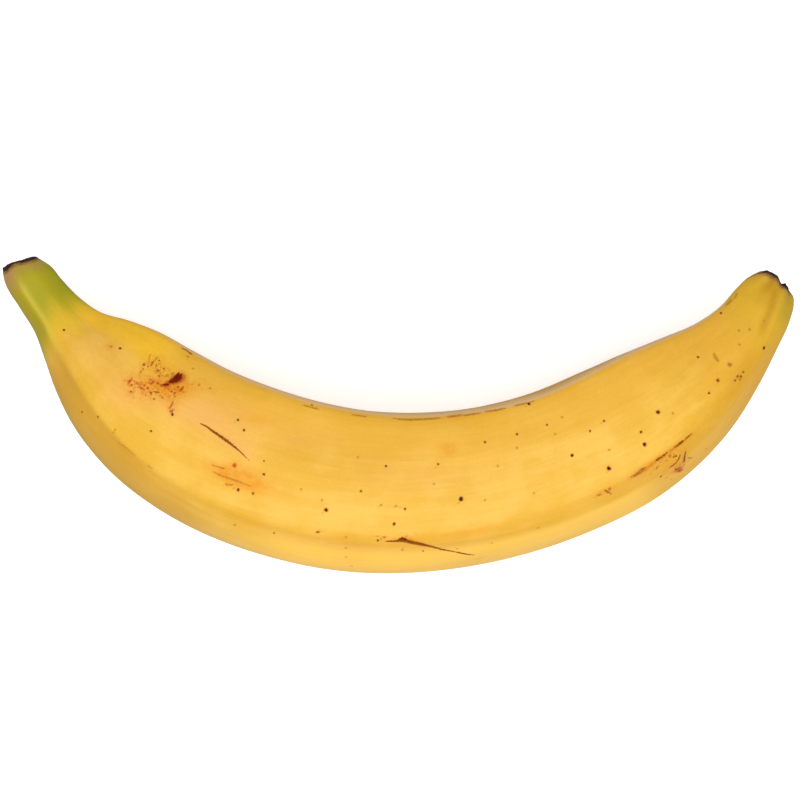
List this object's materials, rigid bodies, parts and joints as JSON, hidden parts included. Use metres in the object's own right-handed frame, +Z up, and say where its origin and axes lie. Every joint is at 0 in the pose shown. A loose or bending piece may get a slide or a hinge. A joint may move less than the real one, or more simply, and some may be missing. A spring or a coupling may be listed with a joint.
{
  "type": "plantain",
  "caption": "Ripe plantain lying on its side: a curved, rounded five-sided fruit with a tapered neck, a slanted cut stem and a dry blossom scar.",
  "frame": {"origin": "on the table, under the middle of the fruit's box", "axes": "+X from the cut stem towards the blossom scar, +Y towards the hollow side of the curve, +Z up from the table"},
  "size_m": [0.2396, 0.0958, 0.0434],
  "materials": {
    "peel": "waxy satin peel, yellow with an olive-green stem, small brown specks and dark dry ends"
  },
  "bodies": {
    "root": {"plantain": "peel"}
  },
  "joints": []
}
